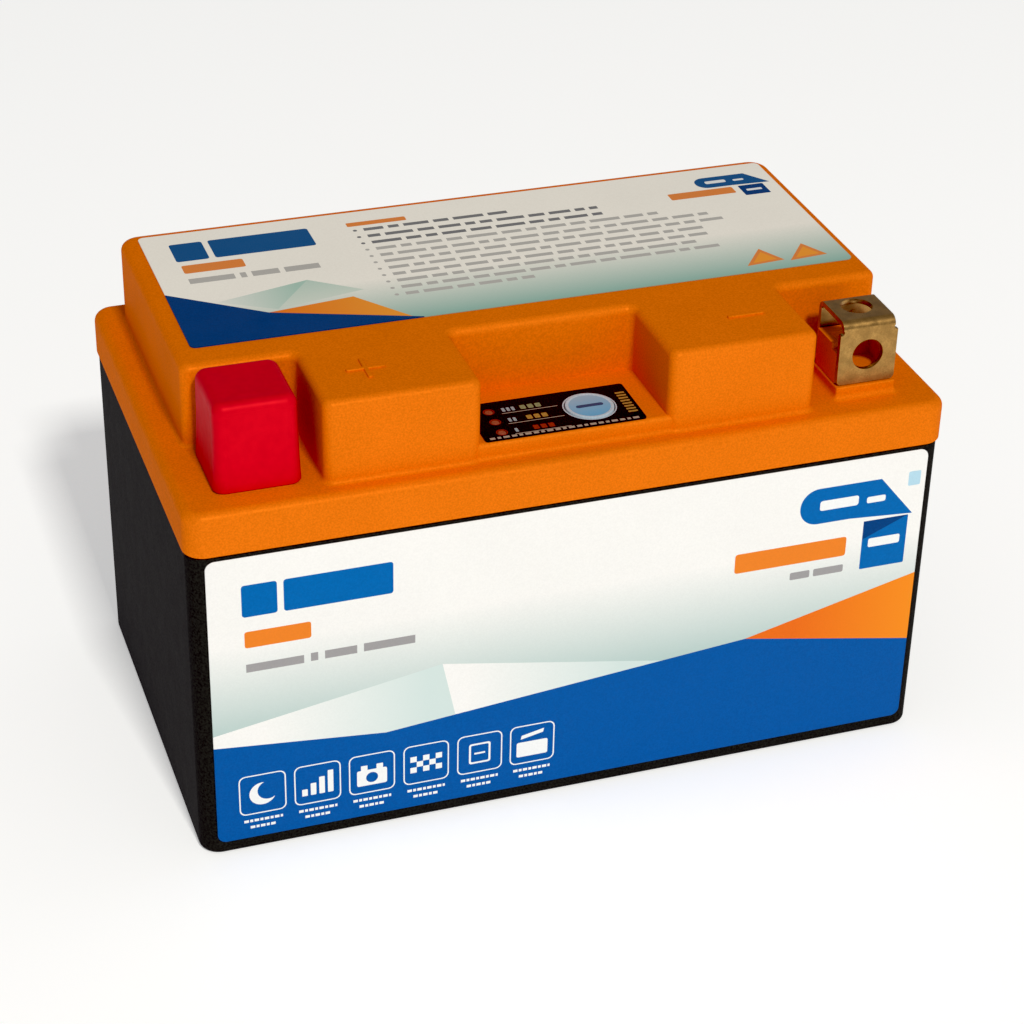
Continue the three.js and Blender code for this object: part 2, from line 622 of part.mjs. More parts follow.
function makeLeadPositive() {
  const x = -(WING.inner + WING.outer) / 2;
  return cord([
    [x, -15, leadZ],
    [x, -9, leadZ],
    [x, -3, leadZ],
    [x, 4, leadZ + 0.5],
    [x - 2, 11, leadZ + 2],
    [x - 7, 15, lugZ],
    [x - 12, 13, lugZ],
    [-POST_X, 8, lugZ],
    [-POST_X, 4, lugZ],
    [-POST_X, 0, lugZ],
  ], LEAD.r, LEAD.sides, LEAD.steps);
}

function makeLeadNegative() {
  return cord([
    [-36, 23, leadZ],
    [-30, 23, leadZ],
    [-24, 23.5, leadZ],
    [-16, 28, leadZ],
    [-6, 31, leadZ],
    [10, 31.5, leadZ],
    [30, 31, leadZ + 0.5],
    [46, 27, leadZ + 1.5],
    [56, 19, lugZ],
    [POST_X, 10, lugZ],
    [POST_X, 5, lugZ],
    [POST_X, 0, lugZ],
  ], LEAD.r, LEAD.sides, LEAD.steps);
}

function makeLug(sign) {
  const x = sign * POST_X;
  const plate = block(x - LUG.half, x + LUG.half, LUG.front, LUG.back, LUG.bottom, LUG.top);
  const barrel = barAlongY(x, lugZ, BARREL.r, BARREL.start, BARREL.end);
  const bore = barAlongY(x, lugZ, BARREL.boreR, BARREL.boreStart, BARREL.end + PAST);
  return cut(joined(plate, barrel), bore, drum(x, SCREW.y, SCREW.holeR, LUG.bottom - PAST, LUG.top + PAST));
}

function makeTerminalScrew(sign) {
  const x = sign * POST_X;
  const head = drum(x, SCREW.y, SCREW.headR, LUG.top + FIT, SCREW.headTop, 24);
  const shank = drum(x, SCREW.y, SCREW.shankR, SCREW.bottom, LUG.top + PAST);
  const socket = drum(x, SCREW.y, SOCKET.r, SCREW.headTop - SOCKET.depth, SCREW.headTop + PAST, 6);
  return cut(joined(head, shank), socket);
}

function makeTerminalNut(sign) {
  const x = sign * POST_X;
  const hole = drum(x, SCREW.y, NUT.holeR, NUT.bottom - PAST, NUT.top + PAST);
  return cut(drum(x, SCREW.y, NUT.r, NUT.bottom, NUT.top, 6), hole);
}

// ---- Balance board and sensing --------------------------------------------------------------

function makeBalanceBoard() {
  const { halfX, front, back, bottom, top, r } = BALANCE;
  const board = prism(rectangle(-halfX, halfX, front, back, r), bottom, top, 0, 1);
  const controller = block(-CONTROLLER.halfX, CONTROLLER.halfX, CONTROLLER.front, CONTROLLER.back,
    bottom, top + CONTROLLER.height);
  const resistors = [0, 1, 2, 3].map((index) => {
    const x = RESISTOR.first + RESISTOR.pitch * index;
    return block(x - RESISTOR.halfX, x + RESISTOR.halfX, RESISTOR.front, RESISTOR.back,
      bottom, top + RESISTOR.height);
  });
  return joined(board, controller, ...resistors);
}

// A flat flexible circuit: a spine under the board, a finger to each link and a tail up to the board.
function makeSenseFlex() {
  const bottom = CARRIER.top + FIT;
  const top = bottom + FLEX.thickness;
  const { half, front, back, fingerHalf, reach } = FLEX;
  const tailTop = BALANCE.top + FLEX_TAIL.rise;
  const spine = block(-half, half, front, back, bottom, top);
  const fingers = FLEX_FINGERS.map(([y, side]) => block(Math.min(0, side * reach), Math.max(0, side * reach),
    y - fingerHalf, y + fingerHalf, bottom, top));
  const riser = block(-half, half, FLEX_TAIL.front, FLEX_TAIL.back, bottom, tailTop);
  const landing = block(-half, half, FLEX_TAIL.front, FLEX_TAIL.landing, BALANCE.top + FIT, tailTop);
  return joined(spine, ...fingers, riser, landing);
}

// ---- Foam -----------------------------------------------------------------------------------

const stackY = cellY(3) + CELL.thickness / 2;

const foamFloor = CASE.floor + GAP;
const foamEndX = CELL.length / 2 + FOAM.clearance;

// One strip of foam wrapped round the cells, which fills the room between them and the case.
function makeFoamWrap() {
  const [outerX, outerY] = [insideX - FOAM.clearance, insideY - FOAM.clearance];
  const sideY = stackY + FOAM.clearance;
  const outside = prism(rectangle(-outerX, outerX, -outerY, outerY, FOAM.r), foamFloor, FOAM.top, 0, 2);
  const room = block(-foamEndX, foamEndX, -sideY, sideY, foamFloor - PAST, FOAM.top + PAST);
  return cut(outside, room);
}

function makeFoamBase() {
  const halfX = foamEndX - FOAM.inset;
  const halfY = stackY - FOAM.inset / 2;
  return prism(rectangle(-halfX, halfX, -halfY, halfY, FOAM.r), foamFloor, CELL.bottom - GAP, 0, 1);
}

// ---- Assembly -------------------------------------------------------------------------------

const battery = new THREE.Group();

function add(name, solid, finish) {
  const mesh = new THREE.Mesh(toGeometry(solid), finish);
  mesh.name = name;
  battery.add(mesh);
}

add('container', makeContainer(), BLACK_ABS);
add('lid', makeLid(), ORANGE_ABS);
add('front_label', makeFrontLabel(), LABEL_FILM);
add('top_label', makeTopLabel(), TOP_LABEL_FILM);
add('positive_terminal_cap', makeTerminalCap(), RED_VINYL);

const POLES = [
  ['positive', -1, RED_SLEEVE, makeLeadPositive],
  ['negative', 1, BLACK_SLEEVE, makeLeadNegative],
];
for (const [pole, sign, sleeve, makeLead] of POLES) {
  add(`terminal_${pole}`, makeTerminal(sign), BRASS);
  add(`nut_holder_${pole}`, makeNutHolder(sign), ORANGE_ABS);
  add(`terminal_seal_${pole}`, makeTerminalSeal(sign), RESIN);
  add(`terminal_screw_${pole}`, makeTerminalScrew(sign), STEEL);
  add(`terminal_nut_${pole}`, makeTerminalNut(sign), STEEL);
  add(`lead_${pole}`, makeLead(), sleeve);
  add(`lead_lug_${pole}`, makeLug(sign), NICKEL);
}

add('indicator_overlay', makeOverlay(), OVERLAY_FILM);
add('test_button', makeTestButton(), BUTTON_FILM);
add('test_switch_housing', makeSwitchHousing(), BLACK_NYLON);
add('test_switch_plunger', makeSwitchPlunger(), WHITE_NYLON);
add('indicator_board', makeIndicatorBoard(), BOARD_GREEN);
add('indicator_plug', makeIndicatorPlug(), WHITE_NYLON);
add('indicator_harness', makeIndicatorHarness(), BLACK_SLEEVE);
for (const [level, y] of lampPlaces()) {
  add(`indicator_lamp_${level}`, makeLamp(y), LAMP_PACKAGE);
  add(`light_guide_${level}`, makeLightGuide(y), CLEAR_ACRYLIC);
}

for (const index of [0, 1, 2, 3]) {
  const number = index + 1;
  const plus = positiveSide(index);
  add(`cell_${number}`, makeCell(index), POUCH_FILM);
  add(`cell_${number}_tab_positive`, makeTab(index, plus), ALUMINIUM);
  add(`cell_${number}_tab_negative`, makeTab(index, -plus), NICKEL);
}
for (const index of [0, 1, 2]) {
  add(`cell_separator_${index + 1}`, makeSeparator(index), FIBRE_BOARD);
  add(`series_link_${index + 1}`, makeSeriesLink(index), NICKEL);
}
add('busbar_positive', makeBusbarPositive(), NICKEL);
add('busbar_negative', makeBusbarNegative(), NICKEL);
add('cell_carrier', makeCarrier(), BLACK_NYLON);
add('balance_board', makeBalanceBoard(), BOARD_GREEN);
add('balance_header', makeBalanceHeader(), WHITE_NYLON);
add('sense_flex_circuit', makeSenseFlex(), BOARD_GREEN);
add('foam_wrap', makeFoamWrap(), GREY_FOAM);
add('foam_base', makeFoamBase(), GREY_FOAM);

export default battery;
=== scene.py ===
import json
import math

import bmesh
import bpy
from mathutils import Matrix, Vector
from mathutils.geometry import delaunay_2d_cdt


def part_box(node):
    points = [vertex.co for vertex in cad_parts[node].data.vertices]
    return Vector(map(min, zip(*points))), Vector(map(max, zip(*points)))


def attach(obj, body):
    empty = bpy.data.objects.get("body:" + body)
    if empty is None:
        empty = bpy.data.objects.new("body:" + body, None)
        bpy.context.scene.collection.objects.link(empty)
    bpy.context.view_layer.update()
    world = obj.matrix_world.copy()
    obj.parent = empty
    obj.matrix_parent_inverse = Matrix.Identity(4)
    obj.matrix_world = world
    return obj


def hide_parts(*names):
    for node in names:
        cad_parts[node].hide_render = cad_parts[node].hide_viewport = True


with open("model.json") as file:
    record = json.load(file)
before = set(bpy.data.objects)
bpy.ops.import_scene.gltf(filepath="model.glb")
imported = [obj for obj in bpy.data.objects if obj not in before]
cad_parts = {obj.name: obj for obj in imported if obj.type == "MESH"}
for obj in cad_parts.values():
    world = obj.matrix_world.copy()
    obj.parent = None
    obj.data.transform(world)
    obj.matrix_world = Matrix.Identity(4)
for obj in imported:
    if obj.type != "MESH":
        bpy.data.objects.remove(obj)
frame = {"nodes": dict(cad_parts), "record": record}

# Shapes are drawn in millimetres in the same frame as the CAD, and finished() scales them to metres.
MM = 0.001
SLOTS = {part["node"]: part["material_slot"] for part in frame["record"]["subparts"]}
LAMPS = ("low", "medium", "full")
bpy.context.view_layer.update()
scene = bpy.context.scene


def box_mm(node):
    low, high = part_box(node)
    return low / MM, high / MM


def middle_mm(node):
    """The middle of a CAD node, seen from above."""
    low, high = box_mm(node)
    return (low.x + high.x) / 2, (low.y + high.y) / 2


# ---- Camera, light and floor ------------------------------------------------------------------

CAMERA_AZIMUTH, CAMERA_ELEVATION, CAMERA_ROLL = -19.3, 31.38, 1.28
CAMERA_PLACE = (-0.14926, -0.4302, 0.31696)
CAMERA_LENS = 91.42


def add_object(name, data):
    obj = bpy.data.objects.new(name, data)
    scene.collection.objects.link(obj)
    return obj


def mesh_from(bm, name):
    mesh = bpy.data.meshes.new(name)
    bm.to_mesh(mesh)
    bm.free()
    return mesh


def direction(azimuth, elevation):
    """Points from the object to a place around it, where azimuth 0 is the front."""
    a, e = math.radians(azimuth), math.radians(elevation)
    return Vector((math.sin(a) * math.cos(e), -math.cos(a) * math.cos(e), math.sin(e)))


def add_camera():
    camera = bpy.data.cameras.new("camera")
    camera.sensor_width = 36
    camera.lens = CAMERA_LENS
    camera.clip_start = 0.01
    azimuth, roll = math.radians(CAMERA_AZIMUTH), math.radians(CAMERA_ROLL)
    back = direction(CAMERA_AZIMUTH, CAMERA_ELEVATION)
    level = Vector((math.cos(azimuth), math.sin(azimuth), 0))
    upright_axis = back.cross(level)
    right = math.cos(roll) * level + math.sin(roll) * upright_axis
    up = math.cos(roll) * upright_axis - math.sin(roll) * level
    matrix = Matrix((right, up, back)).transposed().to_4x4()
    matrix.translation = Vector(CAMERA_PLACE)
    obj = add_object("camera", camera)
    obj.matrix_world = matrix
    scene.camera = obj


def set_view():
    """A plain view transform whose blacks are a little deeper."""
    view = scene.view_settings
    view.view_transform = "Standard"
    view.use_curve_mapping = True
    view.curve_mapping.black_level = (0.012, 0.014, 0.01)


def add_key_light():
    """One soft light, above and in front of the battery and aimed at its middle."""
    light = bpy.data.lights.new("key", "AREA")
    light.energy = 55
    light.size = 0.3
    light.color = (1, 0.985, 0.95)
    distance, target = 3, Vector((0, 0, 0.05))
    back = direction(1, 45)
    obj = add_object("key", light)
    aim = (-back).to_track_quat("-Z", "Y").to_matrix().to_4x4()
    obj.matrix_world = Matrix.Translation(target + back * distance) @ aim


def add_world():
    world = bpy.data.worlds.new("studio")
    scene.world = world
    world.use_nodes = True
    backdrop = world.node_tree.nodes["Background"]
    backdrop.inputs["Color"].default_value = (1, 1, 1, 1)
    backdrop.inputs["Strength"].default_value = 0.29


def add_floor():
    bm = bmesh.new()
    bmesh.ops.create_grid(bm, x_segments=8, y_segments=8, size=3)
    floor = add_object("floor", mesh_from(bm, "floor"))
    paper = Finish("paper", Base_Color=(0.86, 0.86, 0.85, 1), Roughness=0.9, Specular_IOR_Level=0.1,
                   Emission_Color=(1, 1, 1, 1), Emission_Strength=0.36)
    floor.data.materials.append(paper.material)


# ---- Materials --------------------------------------------------------------------------------


class Finish:
    """A Principled material whose colour, roughness and surface come from noise in the object's own space.

    Sockets are named with _ for each space."""

    def __init__(self, name, **values):
        self.material = bpy.data.materials.new(name)
        self.material.use_nodes = True
        self.tree = self.material.node_tree
        self.shader = self.tree.nodes["Principled BSDF"]
        self.place = self.tree.nodes.new("ShaderNodeTexCoord").outputs["Object"]
        for socket, value in values.items():
            self.shader.inputs[socket.replace("_", " ")].default_value = value

    def node(self, kind, **inputs):
        node = self.tree.nodes.new(kind)
        for socket, value in inputs.items():
            self.feed(node.inputs[socket.replace("_", " ")], value)
        return node

    def feed(self, socket, value):
        if isinstance(value, bpy.types.NodeSocket):
            self.tree.links.new(value, socket)
        else:
            socket.default_value = value

    def noise(self, size, detail=2.0, stretch=(1, 1, 1)):
        """Noise from 0 to 1 whose features are about size millimetres wide."""
        place = self.place
        if stretch != (1, 1, 1):
            place = self.node("ShaderNodeMapping", Vector=place, Scale=stretch).outputs["Vector"]
        node = self.node("ShaderNodeTexNoise", Vector=place, Scale=1 / (size * MM), Detail=detail)
        return node.outputs["Fac"]

    def spread(self, value, low, high, start=0.3, end=0.7):
        """Turns values from start to end into values from low to high."""
        node = self.node("ShaderNodeMapRange", Value=value, From_Min=start, From_Max=end,
                         To_Min=low, To_Max=high)
        return node.outputs["Result"]

    def mix(self, factor, a, b, blend="MIX"):
        node = self.tree.nodes.new("ShaderNodeMix")
        node.data_type = "RGBA"
        node.blend_type = blend
        self.feed(node.inputs["Factor"], factor)
        self.feed(node.inputs["A"], a if isinstance(a, bpy.types.NodeSocket) else (*a, 1))
        self.feed(node.inputs["B"], b if isinstance(b, bpy.types.NodeSocket) else (*b, 1))
        return node.outputs["Result"]

    def axis(self, name):
        return self.node("ShaderNodeSeparateXYZ", Vector=self.place).outputs[name]

    def color(self, value):
        self.feed(self.shader.inputs["Base Color"], value)

    def roughness(self, low, high, size=4.0):
        self.feed(self.shader.inputs["Roughness"], self.spread(self.noise(size), low, high))

    def bumps(self, *layers):
        """Each layer is (height value, depth in millimetres)."""
        normal = None
        for height, depth in layers:
            bump = self.node("ShaderNodeBump", Height=height, Distance=depth * MM, Strength=1.0)
            if normal:
                self.feed(bump.inputs["Normal"], normal)
            normal = bump.outputs["Normal"]
        self.feed(self.shader.inputs["Normal"], normal)


def scaled(color, factor):
    return tuple(min(1.0, c * factor) for c in color)


def varied(finish, color, fine, broad, grain=0.4, patch=14):
    """The colour with fine speckle and broad, soft patches, each as a share of the colour."""
    speckle = finish.spread(finish.noise(grain, 3), 0, 1, 0.35, 0.65)
    tone = finish.mix(speckle, scaled(color, 1 - fine), scaled(color, 1 + fine))
    cloud = finish.spread(finish.noise(patch, 2), 0, 1)
    shade = finish.mix(cloud, (1 - broad,) * 3, (1, 1, 1))
    return finish.mix(1.0, tone, shade, "MULTIPLY")


def moulded(name, color, roughness=(0.36, 0.5), grain=0.45, depth=0.012, fine=0.05, broad=0.05, shine=0.15,
            wave=0.05, tint=0.0):
    """Moulded plastic. Tint is the share of its reflection that takes the plastic's own colour."""
    finish = Finish(name, Specular_IOR_Level=shine, Metallic=tint)
    finish.color(varied(finish, color, fine, broad, grain))
    finish.roughness(*roughness)
    finish.bumps((finish.noise(9, 2), wave), (finish.noise(grain, 3), depth))
    return finish.material


def coat_film(finish, color, roughness):
    """A smooth film's faint waves and grain."""
    finish.color(color)
    finish.roughness(*roughness, 8)
    finish.bumps((finish.noise(12, 2), 0.02), (finish.noise(0.35, 2), 0.002))
    return finish.material


def film(name, color, roughness=(0.3, 0.42), fine=0.02, broad=0.02, shine=0.15):
    finish = Finish(name, Specular_IOR_Level=shine)
    return coat_film(finish, varied(finish, color, fine, broad, 0.35, 20), roughness)


def graded_film(name, light, shade, along, start, end):
    """A film whose colour runs evenly from light to shade between two places along an axis."""
    finish = Finish(name, Specular_IOR_Level=0.15)
    amount = finish.spread(finish.axis(along), 0, 1, start * MM, end * MM)
    color = finish.mix(amount, varied(finish, light, 0.02, 0.02, 0.35, 20), shade)
    return coat_film(finish, color, (0.3, 0.42))


def metal(name, color, roughness=(0.25, 0.42), brushed=(1, 1, 1), tarnish=0.35):
    finish = Finish(name, Metallic=1.0)
    dull = scaled(color, 1 - tarnish)
    cloud = finish.spread(finish.noise(2.2, 4), 0, 1, 0.35, 0.7)
    speckle = finish.spread(finish.noise(0.3, 3), 0, 0.5, 0.4, 0.7)
    finish.color(finish.mix(speckle, finish.mix(cloud, color, dull), scaled(dull, 0.8)))
    finish.roughness(*roughness, 1.6)
    finish.bumps((finish.noise(0.25, 3, brushed), 0.004))
    return finish.material


def rubber(name, color):
    return moulded(name, color, roughness=(0.5, 0.7), grain=0.8, depth=0.02, fine=0.06, broad=0.08)


def foam(name, color):
    finish = Finish(name)
    cells = finish.node("ShaderNodeTexVoronoi", Vector=finish.place, Scale=1 / (0.7 * MM)).outputs["Distance"]
    finish.color(finish.mix(cells, scaled(color, 1.25), scaled(color, 0.6)))
    finish.roughness(0.85, 1.0)
    finish.bumps((cells, 0.15))
    return finish.material


def outer_finishes():
    button_low, button_high = box_mm("test_button")
    return [
        moulded("black_abs", (0.019, 0.0195, 0.0145), roughness=(0.57, 0.6), grain=0.4, depth=0.02,
                fine=0.3, broad=0.04, shine=0.012, wave=0.002),
        moulded("orange_abs", (0.8, 0.184, 0.014), roughness=(0.36, 0.46), grain=0.36, depth=0.015,
                fine=0.09, shine=0.0, tint=0.07),
        moulded("red_vinyl", (0.68, 0.013, 0.02), roughness=(0.38, 0.46), grain=1.6, depth=0.004,
                fine=0.03, broad=0.08, shine=0.02, tint=0.1),
        metal("terminal_brass", (0.52, 0.3, 0.095), roughness=(0.26, 0.42), brushed=(1, 1, 0.2)),
        film("front_label_film", (0.89, 0.88, 0.85)),
        film("top_label_film", (0.97, 0.92, 0.82)),
        film("overlay_film", (0.01, 0.008, 0.007), roughness=(0.25, 0.4), fine=0.2, broad=0.2, shine=0.03),
        graded_film("button_film", (0.1, 0.4, 0.66), (0.34, 0.46, 0.56), "Y", button_low.y, button_high.y),
        film("light_guide_acrylic", (0.36, 0.1, 0.05), roughness=(0.12, 0.2), fine=0.2, broad=0.2),
    ]


def inner_finishes():
    return [
        moulded("black_nylon", (0.02, 0.02, 0.022)),
        moulded("white_nylon", (0.8, 0.77, 0.7)),
        moulded("potting_resin", (0.02, 0.016, 0.013), roughness=(0.15, 0.3)),
        moulded("lamp_package", (0.85, 0.82, 0.7), roughness=(0.2, 0.3)),
        film("circuit_board", (0.015, 0.1, 0.035), roughness=(0.3, 0.45), fine=0.2, broad=0.15),
        film("flex_circuit", (0.45, 0.2, 0.04), roughness=(0.25, 0.4), fine=0.1, broad=0.1),
        rubber("black_sleeve", (0.012, 0.012, 0.014)),
        rubber("red_sleeve", (0.42, 0.012, 0.016)),
        rubber("fibre_board", (0.62, 0.56, 0.4)),
        metal("nickel_plate", (0.52, 0.49, 0.42), tarnish=0.15),
        metal("tab_aluminium", (0.6, 0.61, 0.63), roughness=(0.3, 0.45), brushed=(1, 8, 1), tarnish=0.15),
        metal("zinc_steel", (0.45, 0.46, 0.48), tarnish=0.2),
        metal("pouch_film", (0.55, 0.56, 0.58), roughness=(0.3, 0.5), tarnish=0.12),
        foam("grey_foam", (0.07, 0.075, 0.08)),
    ]


# The CAD's own materials already have these names, so Blender adds a number to each new one.
FINISHES = {material.name.split(".")[0]: material for material in outer_finishes() + inner_finishes()}


def paint_cad_nodes():
    for name, node in frame["nodes"].items():
        node.data.materials.clear()
        node.data.materials.append(FINISHES[SLOTS[name]])


# ---- Shapes -----------------------------------------------------------------------------------


def rectangle(x0, x1, y0, y1, r):
    """Corners for outline(), as (x, y, radius)."""
    return [(x0, y0, r), (x1, y0, r), (x1, y1, r), (x0, y1, r)]


def square_cut(x0, x1, y0, y1):
    """The points of a rectangle with sharp corners."""
    return [(x0, y0), (x1, y0), (x1, y1), (x0, y1)]


def circle(x, y, r, sides=32):
    return [(x + r * math.cos(2 * math.pi * k / sides), y + r * math.sin(2 * math.pi * k / sides))
            for k in range(sides)]


def outline(corners, steps=8):
    """A closed outline through (x, y, radius) corners, anticlockwise, each rounded in that many steps."""
    points = []
    for i, (x, y, r) in enumerate(corners):
        corner = Vector((x, y))
        before = (Vector(corners[i - 1][:2]) - corner).normalized()
        after = (Vector(corners[(i + 1) % len(corners)][:2]) - corner).normalized()
        half = before.angle(after) / 2
        centre = corner + (before + after).normalized() * (r / math.sin(half))
        start = corner + before * (r / math.tan(half)) - centre
        end = corner + after * (r / math.tan(half)) - centre
        first = math.atan2(start.y, start.x)
        turn = (math.atan2(end.y, end.x) - first + math.pi) % (2 * math.pi) - math.pi
        points += [(centre.x + r * math.cos(first + turn * k / steps),
                    centre.y + r * math.sin(first + turn * k / steps)) for k in range(steps + 1)]
    return points


def shrunk(corners, inset):
    """The corners of an anticlockwise outline of square turns, moved in by inset."""
    moved = []
    for i, (x, y, r) in enumerate(corners):
        before = (Vector((x, y)) - Vector(corners[i - 1][:2])).normalized()
        after = (Vector(corners[(i + 1) % len(corners)][:2]) - Vector((x, y))).normalized()
        convex = before.x * after.y - before.y * after.x > 0
        radius = r - inset if convex else r + inset
        shift = Vector((-before.y - after.y, before.x + after.x)) * inset
        moved.append((x + shift.x, y + shift.y, max(radius, 0.05)))
    return moved


def loft(bm, rings):
    """A closed skin over rings of equally many points, the first and last filled in."""
    loops = [[bm.verts.new(point) for point in ring] for ring in rings]
    for below, above in zip(loops, loops[1:]):
        for i in range(len(below)):
            j = (i + 1) % len(below)
            bm.faces.new((below[i], below[j], above[j], above[i]))
    bm.faces.new(reversed(loops[0]))
    bm.faces.new(loops[-1])


def quarter(steps=8):
    """Angles over a quarter turn."""
    return [math.pi / 2 * k / steps for k in range(steps + 1)]


def stack(corners, levels, steps=8):
    """Rings of an outline, one for each (inset, height)."""
    return [[(x, y, z) for x, y in outline(shrunk(corners, inset), steps)] for inset, z in levels]


def rim_up(top, edge, steps=8):
    """Levels that round an upper rim."""
    return [(edge * (1 - math.cos(t)), top - edge + edge * math.sin(t)) for t in quarter(steps)]


def foot_down(floor, flare):
    """Levels that flare a wall's foot out over the floor it rises from."""
    return [(-flare * (1 - math.sin(t)), floor + flare * (1 - math.cos(t))) for t in quarter(6)]


def solid(rings):
    bm = bmesh.new()
    loft(bm, rings)
    return add_object("solid", mesh_from(bm, "solid"))


def upright(points, z0, z1):
    return solid([[(x, y, z0) for x, y in points], [(x, y, z1) for x, y in points]])


def block(x0, x1, y0, y1, z0, z1):
    return upright(square_cut(x0, x1, y0, y1), z0, z1)


def along_y(points_xz, y0, y1):
    """A prism on an outline in X and Z that is anticlockwise seen from the front."""
    return solid([[(x, y1, z) for x, z in points_xz], [(x, y0, z) for x, z in points_xz]])


def along_x(points_yz, x0, x1):
    return solid([[(x0, y, z) for y, z in points_yz], [(x1, y, z) for y, z in points_yz]])


def turned(profile, x, y, sides=64):
    """A solid turned about an upright axis from (radius, height) pairs that run from bottom to top."""
    smallest = 0.01
    return solid([[(x + px, y + py, z) for px, py in circle(0, 0, max(r, smallest), sides)]
                  for r, z in profile])


def settle(obj):
    """Makes the result of the modifiers the object's mesh."""
    graph = bpy.context.evaluated_depsgraph_get()
    graph.update()
    mesh = bpy.data.meshes.new_from_object(obj.evaluated_get(graph))
    obj.modifiers.clear()
    obj.data = mesh


def combine(base, operation, tools):
    """Joins the tools to the base or cuts them from it, and removes them."""
    group = bpy.data.collections.new("tools")
    for tool in tools:
        group.objects.link(tool)
    modifier = base.modifiers.new("combine", "BOOLEAN")
    modifier.solver = "EXACT"
    modifier.operation = operation
    modifier.operand_type = "COLLECTION"
    modifier.collection = group
    settle(base)
    for tool in tools:
        bpy.data.objects.remove(tool)
    bpy.data.collections.remove(group)
    return base


def soften(obj, width):
    """Rounds the sharp edges a little."""
    bm = bmesh.new()
    bm.from_mesh(obj.data)
    bmesh.ops.recalc_face_normals(bm, faces=bm.faces)
    bm.to_mesh(obj.data)
    bm.free()
    bevel = obj.modifiers.new("soften", "BEVEL")
    bevel.width = width
    bevel.segments = 2
    bevel.limit_method = "ANGLE"
    bevel.angle_limit = math.radians(50)
    settle(obj)


def finished(obj, name, node, body="root", materials=None, smooth=35):
    """Scales a shape made in millimetres, gives it its finish and puts it in place of its CAD node."""
    obj.name = name
    mesh = obj.data
    mesh.name = name
    mesh.transform(Matrix.Scale(MM, 4))
    for material in materials or [FINISHES[SLOTS[node]]]:
        mesh.materials.append(material)
    if smooth:
        mesh.shade_smooth()
        mesh.set_sharp_from_angle(angle=math.radians(smooth))
        weighted = obj.modifiers.new("even_shading", "WEIGHTED_NORMAL")
        weighted.keep_sharp = True
    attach(obj, body)
    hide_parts(node)


# ---- Case -------------------------------------------------------------------------------------

CORNER = 4
CASE_WALL = 2
CASE_FLOOR = 2.4


def make_case():
    low, high = box_mm("container")
    edge, rim, fillet = 1.2, 0.35, 0.6
    bottom = [(edge * (1 - math.sin(t)), edge * (1 - math.cos(t))) for t in quarter()]
    inside = [(CASE_WALL, high.z), (CASE_WALL, CASE_FLOOR + fillet), (CASE_WALL + fillet, CASE_FLOOR)]
    rings = stack(rectangle(low.x, high.x, low.y, high.y, CORNER), bottom + rim_up(high.z, rim, 4) + inside)
    finished(solid(rings), "case", "container")


# ---- Lid --------------------------------------------------------------------------------------

SEAM = 67.3
SHOULDER = 76.2
SHELF = 79.5
DECK = 93
SKIN = 2.2
NOTCH = -18.9
LOBE_IN, LOBE_OUT, LOBE_FRONT = 18.35, 48.1, -39.3
POST = 60.2


def deck_corners(inset=0.0):
    """The stepped deck: its front is cut back to NOTCH, but for two lobes."""
    x, back = 69.5, 38.8
    corners = [
        (-x, NOTCH, 2), (-LOBE_OUT, NOTCH, 1.5), (-LOBE_OUT, LOBE_FRONT, 2), (-LOBE_IN, LOBE_FRONT, 2),
        (-LOBE_IN, NOTCH, 1.5), (LOBE_IN, NOTCH, 1.5), (LOBE_IN, LOBE_FRONT, 2), (LOBE_OUT, LOBE_FRONT, 2),
        (LOBE_OUT, NOTCH, 1.5), (x, NOTCH, 2), (x, back, 4), (-x, back, 4),
    ]
    return shrunk(corners, inset) if inset else corners


def lid_skirt():
    low, high = box_mm("lid")
    chamfer = [(0.25, SEAM), (0, SEAM + 0.25)]
    return solid(stack(rectangle(low.x, high.x, low.y, high.y, CORNER), chamfer + rim_up(SHOULDER, 2)))


def lid_deck():
    return solid(stack(deck_corners(), [(-1, SHOULDER - 0.8)] + foot_down(SHOULDER - 0.02, 1)
                       + rim_up(DECK, 1.6)))


def lid_shelf():
    """The floor of the middle notch, which carries the overlay."""
    levels = [(-1, SHOULDER - 0.7)] + foot_down(SHOULDER - 0.01, 1) + rim_up(SHELF, 0.9)
    return solid(stack(rectangle(-LOBE_IN - 1, LOBE_IN + 1, -38.9, NOTCH + 1, 0.2), levels, 4))


def lid_tongue():
    """The rim that reaches down into the case."""
    return upright(outline(rectangle(-72.3, 72.3, -40.8, 40.8, 2)), 63, SEAM + 1)


def polarity_bar(x, half_x, half_y):
    y = -28.6
    levels = [(0, DECK - 0.5), (0, DECK + 0.15)] + rim_up(DECK + 0.4, 0.25, 4)
    return solid(stack(rectangle(x - half_x, x + half_x, y - half_y, y + half_y, 0.3), levels, 4))


def polarity_marks():
    """A minus on the right lobe and a plus on the left one."""
    x, long, thin = 37.4, 3.7, 0.45
    return [polarity_bar(x, long, thin), polarity_bar(-x, long, thin), polarity_bar(-x, thin, long)]


def pedestal(x):
    """The raised block under a terminal."""
    flare = 1.2
    levels = [(-flare, SHOULDER - 0.6)] + foot_down(SHOULDER, flare) + rim_up(78.7, 0.3, 4)
    return solid(stack(rectangle(x - 6.2, x + 6.2, -36.5, -23.4, 0.5), levels, 4))


